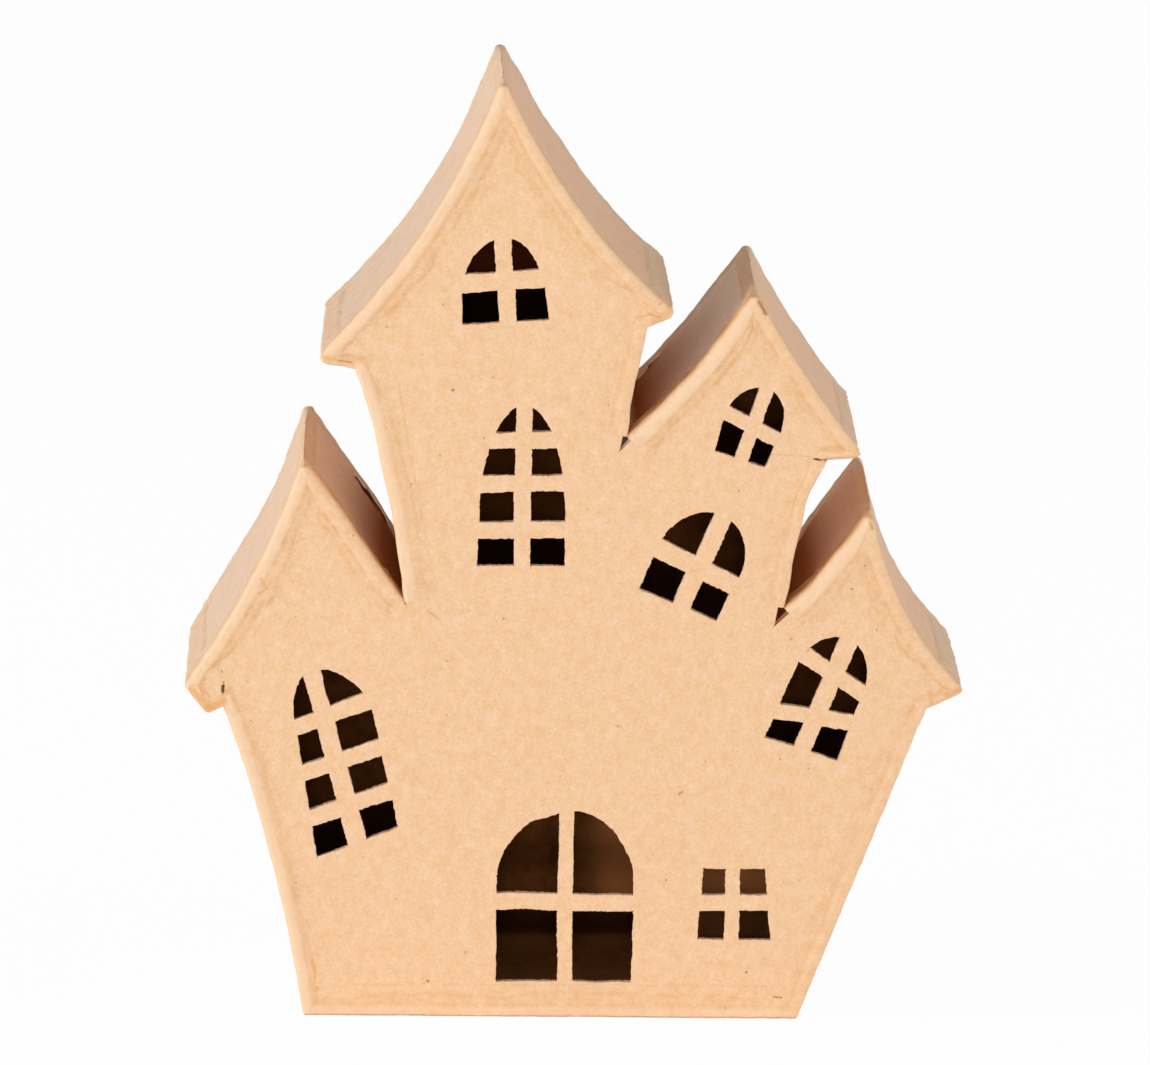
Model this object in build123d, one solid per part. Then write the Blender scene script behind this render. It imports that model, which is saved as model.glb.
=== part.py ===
import math
import os
from build123d import *

# Sizes of the shell in mm; x runs to the right, y away from the viewer, z up
DEPTH = 70.0  # over the outer faces of the front and back cards
CARD = 2.0  # thickness of every card piece
PAPER = 0.4  # thickness of the glued binding paper
FACE_FLAP = 6.5  # binding paper turned onto the front and back cards
BASE_FLAP = 7.0  # the same along the foot of the front and back cards
SIDE_FLAP = 10.0  # binding paper turned onto the walls and the roof
RIDGE_FLAP = 6.0  # paper over a ridge, measured down each slope
EAVE_FLAP = 11.0  # paper over an eave tip, measured up the slope

# Heights above the base
TOWER_HEIGHT = 290.0
UPPER_GABLE_HEIGHT = 226.7
LEFT_GABLE_HEIGHT = 173.0
LOWER_GABLE_HEIGHT = 158.5
TOWER_LEFT_WALL_HEIGHT = 204.2
TOWER_RIGHT_WALL_HEIGHT = 218.0
UPPER_WALL_HEIGHT = 176.4
LEFT_WALL_HEIGHT = 98.7
RIGHT_WALL_HEIGHT = 99.9
LEFT_VALLEY_HEIGHT = 130.5
MIDDLE_VALLEY_HEIGHT = 178.6
RIGHT_VALLEY_HEIGHT = 124.4

# Reach and rise of each eave from the wall that it hangs over; the left one has a square end
LEFT_EAVE = (-4.8, -2.3)
LEFT_EAVE_END = (-6.3, 8.6)
TOWER_LEFT_EAVE = (-10.3, 2.8)
TOWER_RIGHT_EAVE = (7.4, 4.0)
UPPER_EAVE = (9.7, 1.6)
LOWER_EAVE = (10.4, 5.4)


def reach(corner, step):
    return (corner[0] + step[0], corner[1] + step[1])


# Corners of the outline as x, z
BASE_LEFT = (-81.5, 0.0)
LEFT_WALL_TOP = (-106.5, LEFT_WALL_HEIGHT)
LEFT_EAVE_FOOT = reach(LEFT_WALL_TOP, LEFT_EAVE)
LEFT_EAVE_TIP = reach(LEFT_EAVE_FOOT, LEFT_EAVE_END)
LEFT_APEX = (-82.5, LEFT_GABLE_HEIGHT)
LEFT_VALLEY = (-50.0, LEFT_VALLEY_HEIGHT)
TOWER_LEFT_WALL_TOP = (-67.5, TOWER_LEFT_WALL_HEIGHT)
TOWER_LEFT_TIP = reach(TOWER_LEFT_WALL_TOP, TOWER_LEFT_EAVE)
TOWER_APEX = (-24.0, TOWER_HEIGHT)
TOWER_RIGHT_WALL_TOP = (20.0, TOWER_RIGHT_WALL_HEIGHT)
TOWER_RIGHT_TIP = reach(TOWER_RIGHT_WALL_TOP, TOWER_RIGHT_EAVE)
MIDDLE_VALLEY = (12.5, MIDDLE_VALLEY_HEIGHT)
UPPER_APEX = (52.2, UPPER_GABLE_HEIGHT)
UPPER_WALL_TOP = (75.5, UPPER_WALL_HEIGHT)
UPPER_TIP = reach(UPPER_WALL_TOP, UPPER_EAVE)
RIGHT_VALLEY = (60.0, RIGHT_VALLEY_HEIGHT)
LOWER_APEX = (88.3, LOWER_GABLE_HEIGHT)
RIGHT_WALL_TOP = (107.0, RIGHT_WALL_HEIGHT)
LOWER_TIP = reach(RIGHT_WALL_TOP, LOWER_EAVE)
BASE_RIGHT = (69.5, 0.0)

# How far each bowed side sinks inward at its middle
LEFT_WALL_SAG = 2.4
LEFT_ROOF_SAG = 2.8
TOWER_WALL_SAG = 2.0
TOWER_LEFT_ROOF_SAG = 5.8
TOWER_RIGHT_ROOF_SAG = 5.0
UPPER_LEFT_ROOF_SAG = 0.6
UPPER_RIGHT_ROOF_SAG = 1.3
UPPER_WALL_SAG = 1.2
LOWER_LEFT_ROOF_SAG = 0.9
LOWER_RIGHT_ROOF_SAG = 5.3

# Windows: foot of the upright bar on the sill, lean to the left in degrees, reach to the
# left and right of the bar at the sill and at the springing of the head, then the head
# and the bars; each crossing rail has its height up the bar and its own slope
TOWER_GABLE_WINDOW = dict(
    foot=(-21.6, 218.2), lean=4.4, sill=(13.6, 12.3), sill_slope=0.0, spring=(13.2, 11.8),
    spring_height=8.0, rise=17.7, bar=5.6, rail=5.9, rails=[(12.6, 0.0)])
TOWER_TALL_WINDOW = dict(
    foot=(-16.5, 142.9), lean=0.0, sill=(13.3, 12.8), sill_slope=0.0, spring=(12.8, 12.6),
    spring_height=17.0, rise=32.5, bar=5.2, rail=5.4, rails=[(11.0, 1.0), (25.3, 2.0), (38.8, 1.0)])
UPPER_GABLE_WINDOW = dict(
    foot=(49.3, 176.5), lean=-17.5, sill=(8.4, 7.4), sill_slope=0.0, spring=(9.3, 8.6),
    spring_height=12.0, rise=11.0, bar=4.5, rail=4.7, rails=[(10.7, -10.5)])
MIDDLE_WINDOW = dict(
    foot=(32.0, 130.6), lean=-23.2, sill=(13.7, 11.4), sill_slope=0.0, spring=(13.9, 12.3),
    spring_height=16.0, rise=14.6, bar=5.8, rail=6.2, rails=[(12.9, -3.8)])
LEFT_WINDOW = dict(
    foot=(-65.4, 55.4), lean=15.0, sill=(13.1, 13.1), sill_slope=6.6, spring=(9.3, 14.4),
    spring_height=38.0, rise=17.5, bar=6.0, rail=5.4, rails=[(12.0, 4.9), (26.0, 4.6), (40.7, 6.2)])
RIGHT_WINDOW = dict(
    foot=(69.6, 86.0), lean=-21.3, sill=(11.9, 11.2), sill_slope=3.6, spring=(11.6, 10.2),
    spring_height=23.0, rise=13.8, bar=5.7, rail=5.3, rails=[(10.8, 12.8), (25.2, -12.2)])
DOOR = dict(
    foot=(-1.9, 11.5), lean=0.0, sill=(20.7, 20.5), sill_slope=0.0, spring=(21.0, 20.9),
    spring_height=33.5, rise=21.0, bar=4.9, rail=5.6, rails=[(25.1, 0.0)])
SMALL_WINDOW = dict(
    foot=(49.2, 25.4), lean=0.0, sill=(10.2, 11.7), sill_slope=0.0, spring=(8.9, 9.6),
    spring_height=22.4, rise=0.0, bar=4.6, rail=5.5, rails=[(11.6, 1.2)])
WINDOWS = [TOWER_GABLE_WINDOW, TOWER_TALL_WINDOW, UPPER_GABLE_WINDOW, MIDDLE_WINDOW,
           LEFT_WINDOW, RIGHT_WINDOW, DOOR, SMALL_WINDOW]

# Sides of the outline, clockwise from the left end of the base
SIDES = [
    ("left_wall", BASE_LEFT, LEFT_WALL_TOP, LEFT_WALL_SAG),
    ("left_eave_under", LEFT_WALL_TOP, LEFT_EAVE_FOOT, 0.0),
    ("left_eave_end", LEFT_EAVE_FOOT, LEFT_EAVE_TIP, 0.0),
    ("left_gable_outer_slope", LEFT_EAVE_TIP, LEFT_APEX, LEFT_ROOF_SAG),
    ("left_gable_inner_slope", LEFT_APEX, LEFT_VALLEY, 0.0),
    ("tower_left_wall", LEFT_VALLEY, TOWER_LEFT_WALL_TOP, TOWER_WALL_SAG),
    ("tower_left_eave", TOWER_LEFT_WALL_TOP, TOWER_LEFT_TIP, 0.0),
    ("tower_left_slope", TOWER_LEFT_TIP, TOWER_APEX, TOWER_LEFT_ROOF_SAG),
    ("tower_right_slope", TOWER_APEX, TOWER_RIGHT_TIP, TOWER_RIGHT_ROOF_SAG),
    ("tower_right_eave", TOWER_RIGHT_TIP, TOWER_RIGHT_WALL_TOP, 0.0),
    ("tower_right_wall", TOWER_RIGHT_WALL_TOP, MIDDLE_VALLEY, 0.0),
    ("upper_gable_inner_slope", MIDDLE_VALLEY, UPPER_APEX, UPPER_LEFT_ROOF_SAG),
    ("upper_gable_outer_slope", UPPER_APEX, UPPER_TIP, UPPER_RIGHT_ROOF_SAG),
    ("upper_gable_eave", UPPER_TIP, UPPER_WALL_TOP, 0.0),
    ("upper_gable_wall", UPPER_WALL_TOP, RIGHT_VALLEY, UPPER_WALL_SAG),
    ("lower_gable_inner_slope", RIGHT_VALLEY, LOWER_APEX, LOWER_LEFT_ROOF_SAG),
    ("lower_gable_outer_slope", LOWER_APEX, LOWER_TIP, LOWER_RIGHT_ROOF_SAG),
    ("lower_gable_eave", LOWER_TIP, RIGHT_WALL_TOP, 0.0),
    ("right_wall", RIGHT_WALL_TOP, BASE_RIGHT, 0.0),
    ("base", BASE_RIGHT, BASE_LEFT, 0.0),
]

FRONT = -DEPTH / 2
BACK = DEPTH / 2
PARTS = {}


class Side:
    """One straight or bowed side; offsets are positive to the outside of the outline."""

    def __init__(self, start, end, sag):
        self.start = Vector(*start)
        self.end = Vector(*end)
        chord = self.end - self.start
        self.chord = chord.length
        self.along = chord.normalized()
        self.out = Vector(-self.along.Y, self.along.X)
        self.sag = sag
        if sag:
            self.radius = (self.chord**2 / 4 + sag**2) / (2 * sag)
            self.centre = (self.start + self.end) * 0.5 + self.out * (self.radius - sag)
            self.half = math.degrees(math.asin(self.chord / (2 * self.radius)))
            self.length = 2 * math.radians(self.half) * self.radius
        else:
            self.half = 0.0
            self.length = self.chord

    def outward(self, run):
        turn = self.half * (2 * run / self.length - 1)
        return self.out.rotate(Axis.Z, turn)

    def point(self, run, offset):
        if self.sag:
            return self.centre - self.outward(run) * (self.radius - offset)
        return self.start + self.along * run + self.out * offset

    def meet(self, corner, toward, offset):
        """Where the line from a corner of this side crosses the offset side."""
        if not self.sag:
            return corner + toward * (offset / toward.dot(self.out))
        arm = corner - self.centre
        b = arm.dot(toward)
        c = arm.dot(arm) - (self.radius - offset) ** 2
        root = math.sqrt(b * b - c)
        steps = sorted([-b - root, -b + root], key=abs)
        return corner + toward * steps[0]


NAMES = [side[0] for side in SIDES]
SIDE = {name: Side(start, end, sag) for name, start, end, sag in SIDES}


def mitre(before, after, offset):
    """Direction of the line on which two neighbouring sides are parted."""
    if offset > 0 and "base" in (before, after):
        return Vector(-1, 0) if before == "base" else Vector(1, 0)
    first = SIDE[before].outward(SIDE[before].length)
    second = SIDE[after].outward(0)
    return (first + second).normalized()


def end_points(name, offset, begin, finish):
    """Both ends of a side moved by an offset; None ends it on the mitre with its neighbour."""
    side = SIDE[name]
    index = NAMES.index(name)
    before = NAMES[index - 1]
    after = NAMES[(index + 1) % len(NAMES)]
    first = side.meet(side.start, mitre(before, name, offset), offset)
    last = side.meet(side.end, mitre(name, after, offset), offset)
    if begin is not None:
        first = side.point(begin, offset)
    if finish is not None:
        last = side.point(finish, offset)
    return first, last


def side_edge(name, offset, begin=None, finish=None):
    side = SIDE[name]
    first, last = end_points(name, offset, begin, finish)
    if not side.sag:
        return Line(first, last)
    middle = ((begin or 0.0) + (side.length if finish is None else finish)) / 2
    return ThreePointArc(first, side.point(middle, offset), last)


def band(name, inner, outer, begin=None, finish=None):
    """Strip of the face between two offsets of one side."""
    low = side_edge(name, inner, begin, finish)
    high = side_edge(name, outer, begin, finish)
    return make_face([low, Line(low @ 1, high @ 1), high, Line(high @ 0, low @ 0)])


def slab(shape, near, far):
    """Push a flat shape drawn in x, z from depth near to depth far."""
    plane = Plane(origin=(0, far, 0), x_dir=(1, 0, 0), z_dir=(0, -1, 0))
    return extrude(plane * shape, amount=far - near)


def window_panes(spec):
    """The cut-out panes of one window: its opening less the upright bar and the rails."""
    sill_left, sill_right = spec["sill"]
    spring_left, spring_right = spec["spring"]
    spring_height = spec["spring_height"]
    rise = spec["rise"]
    fall = math.tan(math.radians(spec["sill_slope"]))
    a = (-sill_left, -sill_left * fall)
    b = (sill_right, sill_right * fall)
    c = (spring_right, spring_height)
    d = (-spring_left, spring_height)
    edges = [Line(d, a), Line(a, b), Line(b, c)]
    if rise:
        crown = (0, spring_height)
        edges.append(EllipticalCenterArc(crown, spring_right, rise, 0, arc_size=90))
        edges.append(EllipticalCenterArc(crown, spring_left, rise, 90, arc_size=90))
    else:
        edges.append(Line(c, d))
    opening = make_face(edges)
    span = 2 * (spring_height + rise + max(spec["sill"]) + max(spec["spring"]))
    panes = opening - Rectangle(spec["bar"], span)
    for height, slope in spec["rails"]:
        panes -= Pos(0, height) * Rot(0, 0, slope) * Rectangle(span, spec["rail"])
    return Pos(*spec["foot"]) * Rot(0, 0, spec["lean"]) * panes


# Front and back cards
outline = make_face([side_edge(name, 0.0) for name in NAMES])
front = outline
for window in WINDOWS:
    front -= window_panes(window)
PARTS["front_panel"] = slab(front, FRONT, FRONT + CARD)
PARTS["back_panel"] = slab(outline, BACK - CARD, BACK)


# Card sides between the two panels, parted on the mitres
def card_side(*names):
    pieces = [slab(band(name, -CARD, 0.0), FRONT + CARD, BACK - CARD) for name in names]
    piece = pieces[0]
    for more in pieces[1:]:
        piece += more
    return piece


PARTS["left_eave_panel"] = card_side("left_eave_under", "left_eave_end")
for name in NAMES:
    if name not in ("left_eave_under", "left_eave_end"):
        PARTS[name + "_panel"] = card_side(name)

# Binding paper folded over the front and back edges; a wall shares one strip with its eave
STRIPS = {
    "left_wall": ("left_wall", "left_eave_under", "left_eave_end"),
    "left_gable_outer": ("left_gable_outer_slope",),
    "left_gable_inner": ("left_gable_inner_slope",),
    "tower_left_wall": ("tower_left_wall", "tower_left_eave"),
    "tower_left_roof": ("tower_left_slope",),
    "tower_right_roof": ("tower_right_slope",),
    "tower_right_wall": ("tower_right_eave", "tower_right_wall"),
    "upper_gable_inner": ("upper_gable_inner_slope",),
    "upper_gable_outer": ("upper_gable_outer_slope",),
    "upper_gable_wall": ("upper_gable_eave", "upper_gable_wall"),
    "lower_gable_inner": ("lower_gable_inner_slope",),
    "lower_gable_outer": ("lower_gable_outer_slope",),
    "right_wall": ("lower_gable_eave", "right_wall"),
}


# Sides that start or end in a valley, where the flap on the panel is cut off square
FROM_VALLEY = ("tower_left_wall", "upper_gable_inner_slope", "lower_gable_inner_slope")
INTO_VALLEY = ("left_gable_inner_slope", "tower_right_wall", "upper_gable_wall")


def face_flap(name):
    begin = 0.0 if name in FROM_VALLEY else None
    finish = SIDE[name].length if name in INTO_VALLEY else None
    return band(name, -FACE_FLAP, 0.0, begin, finish)


def binding(names, face, inward):
    """Folded strip: a flap flat on the panel and a flap on the side of the house."""
    outer = face - inward * PAPER
    inner = face + inward * SIDE_FLAP
    strip = None
    for name in names:
        flat = slab(face_flap(name), min(face, outer), max(face, outer))
        fold = slab(band(name, 0.0, PAPER), min(outer, inner), max(outer, inner))
        strip = flat + fold if strip is None else strip + flat + fold
    return strip


for strip_name, names in STRIPS.items():
    PARTS["front_strip_" + strip_name] = binding(names, FRONT, 1)
    PARTS["back_strip_" + strip_name] = binding(names, BACK, -1)
foot_band = band("base", -BASE_FLAP, 0.0)
PARTS["front_strip_base"] = slab(foot_band, FRONT - PAPER, FRONT)
PARTS["back_strip_base"] = slab(foot_band, BACK, BACK + PAPER)

# Paper over the ridges and round the eaves, between the folded strips
STRIP_NEAR = FRONT + SIDE_FLAP
STRIP_FAR = BACK - SIDE_FLAP
RIDGES = {
    "left_gable": ("left_gable_outer_slope", "left_gable_inner_slope"),
    "tower": ("tower_left_slope", "tower_right_slope"),
    "upper_gable": ("upper_gable_inner_slope", "upper_gable_outer_slope"),
    "lower_gable": ("lower_gable_inner_slope", "lower_gable_outer_slope"),
}
for ridge_name, (rising, falling) in RIDGES.items():
    up = band(rising, 0.0, PAPER, begin=SIDE[rising].length - RIDGE_FLAP)
    down = band(falling, 0.0, PAPER, finish=RIDGE_FLAP)
    PARTS["ridge_strip_" + ridge_name] = slab(up + down, STRIP_NEAR, STRIP_FAR)

EAVES = {
    "left_gable": ("left_gable_outer_slope", "left_eave_under", "left_eave_end"),
    "tower_left": ("tower_left_slope", "tower_left_eave"),
    "tower_right": ("tower_right_slope", "tower_right_eave"),
    "upper_gable": ("upper_gable_outer_slope", "upper_gable_eave"),
    "lower_gable": ("lower_gable_outer_slope", "lower_gable_eave"),
}
for eave_name, (slope, *under) in EAVES.items():
    if NAMES.index(slope) > NAMES.index(under[0]):
        strip = band(slope, 0.0, PAPER, finish=EAVE_FLAP)
    else:
        strip = band(slope, 0.0, PAPER, begin=SIDE[slope].length - EAVE_FLAP)
    for name in under:
        strip += band(name, 0.0, PAPER)
    PARTS["eave_strip_" + eave_name] = slab(strip, STRIP_NEAR, STRIP_FAR)

os.makedirs("parts", exist_ok=True)
for name, part in PARTS.items():
    export_step(part, "parts/" + name + ".step")
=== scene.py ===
import math
import bmesh
import bpy
from mathutils import Matrix, Vector, noise


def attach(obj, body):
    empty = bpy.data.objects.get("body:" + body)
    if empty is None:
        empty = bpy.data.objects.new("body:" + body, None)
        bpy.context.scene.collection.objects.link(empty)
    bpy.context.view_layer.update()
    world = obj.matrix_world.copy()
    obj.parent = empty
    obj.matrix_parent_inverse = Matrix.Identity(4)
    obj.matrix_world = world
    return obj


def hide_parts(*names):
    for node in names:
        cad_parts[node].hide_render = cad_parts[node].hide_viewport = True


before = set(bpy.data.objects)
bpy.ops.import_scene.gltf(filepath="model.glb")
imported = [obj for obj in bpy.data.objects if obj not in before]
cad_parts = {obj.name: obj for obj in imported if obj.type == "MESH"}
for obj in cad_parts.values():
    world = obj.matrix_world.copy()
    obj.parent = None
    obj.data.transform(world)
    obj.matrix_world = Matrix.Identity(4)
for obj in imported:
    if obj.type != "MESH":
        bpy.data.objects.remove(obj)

noise.seed_set(7)  # noise_vector starts from a random place without this
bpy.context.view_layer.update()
scene = bpy.context.scene
print("frame loaded:", len(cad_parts), "card and paper solids")

# shell of the house in mm: x to the right, y away from the viewer, z up
shell = {
    "front": 35.0,  # outer faces of the front and back cards, each side of the middle
    "cardEnd": 33.2,  # side cards stop behind those two cards
    "paper": 0.2,  # how far the glued paper stands off the card
    "wander": (0.30, 24.0, 0.10, 7.0),  # slow and quick unevenness of the hand-made outline: size, length
    "wanderDepth": (0.4, 0.6),  # how quickly each changes from front to back
    "crisp": 0.62,  # ridges are folded sharper than the papered front corners
    "crispFront": (1.5, 4.0),  # from this far behind the front, and how long it takes
    "crispBack": (1.0, 20.0),  # the same before the back
    "roundReach": 3.0,  # a corner is rounded for paper that lies up to this far outside it
    "lumps": (0.6, 0.4, 0.36),  # shares of coarse and fine lumps, length of the fine ones
    "tipReach": 60.0,  # lumps double near the eave tips: square of their reach
    "bunch": 0.82,  # how much the cuts across a sheet gather at its ends
    "weld": 0.01,  # corners of neighbouring sheets closer than this become one
    "mm": 0.001,
}

# corners: x, z, how softly the paper rounds it, width of the face flap there
corners = {
    "baseLeft": (-81.5, 0.0, 0.9, 5.0),
    "leftWallTop": (-106.4, 98.0, 0.0, 3.2),
    "leftEaveFoot": (-111.4, 95.7, 2.0, 3.0),
    "leftEaveTip": (-117.9, 104.2, 1.7, 3.4),
    "leftApex": (-82.5, 173.0, 1.9, 6.0),
    "leftValley": (-50.0, 130.5, 0.0, 6.0),
    "towerLeftWallTop": (-67.3, 203.2, 0.0, 3.0),
    "towerLeftTip": (-78.0, 206.0, 1.9, 3.0),
    "towerApex": (-24.0, 290.0, 1.5, 6.0),
    "towerRightTip": (27.6, 221.0, 1.8, 3.0),
    "towerRightWallTop": (19.8, 217.0, 0.0, 3.0),
    "middleValley": (12.5, 178.6, 0.0, 6.0),
    "upperApex": (52.2, 226.7, 1.7, 6.0),
    "upperTip": (84.8, 177.6, 1.7, 3.0),
    "upperWallTop": (75.5, 176.4, 0.0, 3.0),
    "rightValley": (60.0, 124.4, 0.0, 6.0),
    "lowerApex": (88.3, 158.5, 1.7, 6.0),
    "lowerTip": (117.5, 104.6, 1.3, 3.2),
    "rightWallTop": (106.8, 98.8, 0.0, 3.2),
    "baseRight": (69.5, 0.0, 0.9, 6.0),
}

# sides, clockwise from the left end of the base: first corner, inward bow, flap width along it
sides = [
    ("left_wall", "baseLeft", 2.4, 5.0),
    ("left_eave_under", "leftWallTop", 0.0, 3.2),
    ("left_eave_end", "leftEaveFoot", 0.0, 3.2),
    ("left_gable_outer_slope", "leftEaveTip", 2.8, 6.6),
    ("left_gable_inner_slope", "leftApex", 0.0, 6.2),
    ("tower_left_wall", "leftValley", 2.0, 6.0),
    ("tower_left_eave", "towerLeftWallTop", 0.0, 3.0),
    ("tower_left_slope", "towerLeftTip", 5.8, 6.8),
    ("tower_right_slope", "towerApex", 5.0, 6.8),
    ("tower_right_eave", "towerRightTip", 0.0, 3.0),
    ("tower_right_wall", "towerRightWallTop", 0.0, 5.6),
    ("upper_gable_inner_slope", "middleValley", 0.6, 6.4),
    ("upper_gable_outer_slope", "upperApex", 1.3, 6.4),
    ("upper_gable_eave", "upperTip", 0.0, 3.0),
    ("upper_gable_wall", "upperWallTop", 1.2, 5.6),
    ("lower_gable_inner_slope", "rightValley", 0.9, 6.4),
    ("lower_gable_outer_slope", "lowerApex", 5.3, 6.6),
    ("lower_gable_eave", "lowerTip", 0.0, 3.2),
    ("right_wall", "rightWallTop", 0.0, 6.0),
    ("base", "baseRight", 0.0, 7.2),
]
sideNumber = {side[0]: k for k, side in enumerate(sides)}
count = len(sides)

# valleys: how far short of the corner the paper stops, and how far it swells to close the cut
valleys = {"leftValley": (0.7, 0.3), "middleValley": (4.8, 1.15), "rightValley": (6.0, 1.35)}

cornerAt = [Vector(corners[side[1]][:2]) for side in sides]


# a point at a share of a bowed side, the way on and the way out
def bowed(k, a, chord, t):
    across = Vector((-chord.y, chord.x)).normalized()
    bow = sides[k][2]
    direction = (chord - across * (4 * bow * (1 - 2 * t))).normalized()
    return a + chord * t - across * (4 * bow * t * (1 - t)), direction, Vector((-direction.y, direction.x))


def along(k, s):
    chord = cornerAt[(k + 1) % count] - cornerAt[k]
    return bowed(k, cornerAt[k], chord, s / chord.length)


def lengthOf(k):
    return (cornerAt[(k + 1) % count] - cornerAt[k]).length


def mitreAt(k):
    before = along((k - 1) % count, lengthOf((k - 1) % count))[2]
    after = along(k, 0.0)[2]
    return (before + after) / (1 + before.dot(after)), before, after


def halfTurn(before, after):
    return math.acos(max(-1.0, min(1.0, before.dot(after)))) / 2


# a rounded corner is first drawn a little sharper, so that its round still reaches the measured place
softened = []
for k in range(count):
    radius = corners[sides[k][1]][2]
    if radius:
        mitre, before, after = mitreAt(k)
        lift = radius * (1 / math.cos(halfTurn(before, after)) - 1)
        if sides[k][1].startswith("base"):
            lift = 0.0
        softened.append((k, radius, mitre.normalized() * lift))
for k, _, lift in softened:
    cornerAt[k] = cornerAt[k] + lift
mitres = [mitreAt(k) for k in range(count)]
rounds = []
for k, radius, _ in softened:
    mitre, before, after = mitres[k]
    half = halfTurn(before, after)
    middle = mitre.normalized()
    inward = radius / math.cos(half)
    rounds.append((cornerAt[k] - middle * inward, middle, half, inward + shell["roundReach"]))
print("outline:", count, "sides,", len(rounds), "softened corners")


# rounds a point near a corner; corners that point up are ridges
def soften(flat, depth):
    frontGap, frontFade = shell["crispFront"]
    backGap, backFade = shell["crispBack"]
    behind = max(0.0, min(1.0, (depth + shell["front"] - frontGap) / frontFade,
                          (shell["front"] - backGap - depth) / backFade))
    for centre, middle, half, reach in rounds:
        arm = flat - centre
        size = arm.length
        if 1e-6 < size < reach:
            angle = math.acos(max(-1.0, min(1.0, arm.dot(middle) / size)))
            if angle < half:
                crisp = shell["crisp"] * behind if middle.y > 0.8 else 0.0
                return flat + (centre + arm * math.cos(half - angle) - flat) * (1 - crisp)
    return flat


# where the hand-made shell strays from its drawn outline: x, z, reach, shift in x and z
outlineDrift = [
    (-51.0, 132.0, 9.0, -1.5, -0.3),
    (-53.0, 144.0, 8.0, -0.9, 0.0),
    (-56.5, 152.0, 10.0, -1.1, 0.0),
    (-61.0, 170.0, 10.0, -1.2, 0.0),
    (36.0, 206.0, 15.0, 0.9, -0.75),
    (72.0, 164.0, 8.0, -1.5, 0.0),
    (64.0, 139.0, 7.0, 1.1, 0.0),
    (76.0, 145.0, 10.0, -0.25, 0.4),
]
# and where its back strays further still
backDrift = [
    (-82.5, 173.0, 40.0, 0.3, 2.2),
    (-94.0, 150.0, 15.0, 1.0, 0.0),
    (-108.0, 122.0, 14.0, -0.7, 0.0),
    (-59.0, 145.0, 11.0, 0.7, 0.7),
    (-56.0, 238.0, 26.0, 1.0, -0.8),
    (-74.0, 211.0, 14.0, 1.2, 0.0),
    (-40.0, 264.0, 15.0, 0.8, 0.0),
    (-24.0, 290.0, 12.0, -0.2, -0.7),
    (-15.0, 283.0, 8.0, 1.1, 0.2),
    (-4.0, 262.0, 14.0, 0.9, 0.0),
    (10.0, 240.0, 16.0, 0.1, -0.2),
    (27.0, 222.0, 12.0, -0.3, 1.0),
    (52.0, 226.0, 30.0, 0.4, 0.6),
    (84.0, 180.0, 14.0, -0.6, 1.2),
    (36.0, 208.0, 20.0, -0.7, 0.4),
    (88.0, 158.0, 22.0, 0.2, 2.2),
    (101.0, 134.0, 11.0, -0.3, 0.0),
]


def driftAt(place):
    share = max(0.0, (place.y + shell["front"]) / (2 * shell["front"]))
    drift = Vector((0.0, 0.0, 0.0))
    for drifts, amount in ((outlineDrift, 1.0), (backDrift, share)):
        for x, z, reach, dx, dz in drifts:
            weight = amount * math.exp(-((place.x - x) ** 2 + (place.z - z) ** 2) / reach ** 2)
            drift += Vector((dx * weight, 0.0, dz * weight))
    return drift


def unevenAt(slowPlace, quickPlace, size, span, small, short):
    slow, quick = noise.noise_vector(slowPlace / span), noise.noise_vector(quickPlace / short)
    return Vector((slow.x * size + quick.x * small, 0.0, slow.z * size + quick.z * small))


def wanderAt(place):
    slowDepth, quickDepth = shell["wanderDepth"]
    slowPlace = Vector((place.x, place.y * slowDepth, place.z))
    quickPlace = Vector((place.x + 71, place.y * quickDepth, place.z))
    return driftAt(place) + unevenAt(slowPlace, quickPlace, *shell["wander"])


tips = [Vector(corners[name][:2]) for name in corners if "Tip" in name or "Foot" in name]


# the last steps for every sheet: welds, soft corners, uneven outline, lumps, nothing below the ground
def settle(bm, lump, lumpSpan):
    coarse, fine, fineSpan = shell["lumps"]
    bmesh.ops.remove_doubles(bm, verts=bm.verts, dist=shell["weld"])
    for v in bm.verts:
        flat = soften(Vector((v.co.x, v.co.z)), v.co.y)
        v.co = Vector((flat.x, v.co.y, flat.y))
        v.co += wanderAt(v.co)
    bm.normal_update()
    for v in bm.verts:
        swell = noise.noise(v.co / lumpSpan) * coarse + noise.noise(v.co / (lumpSpan * fineSpan)) * fine
        tip = max(math.exp(-((v.co.x - t.x) ** 2 + (v.co.z - t.y) ** 2) / shell["tipReach"]) for t in tips)
        v.co += v.normal * (lump * swell * (1 + tip))
    for v in bm.verts:
        v.co.z = max(v.co.z, 0.0)
    for e in bm.edges:
        e.smooth = not e.is_boundary
    bmesh.ops.scale(bm, vec=(shell["mm"],) * 3, verts=bm.verts)


def pieceFrom(bm, name, slotName, nodes, *materials, smooth=True):
    mesh = bpy.data.meshes.new(name)
    for material in materials:
        mesh.materials.append(material)
    for f in bm.faces:
        f.smooth = smooth
    bm.to_mesh(mesh)
    bm.free()
    piece = bpy.data.objects.new(name, mesh)
    scene.collection.objects.link(piece)
    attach(piece, "root")
    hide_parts(*nodes)
    return piece


def thicken(piece, thickness, insideSlot=0):
    wall = piece.modifiers.new("thickness", "SOLIDIFY")
    wall.thickness = thickness * shell["mm"]
    wall.offset = -1.0
    wall.use_even_offset = False
    wall.material_offset = insideSlot


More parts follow.
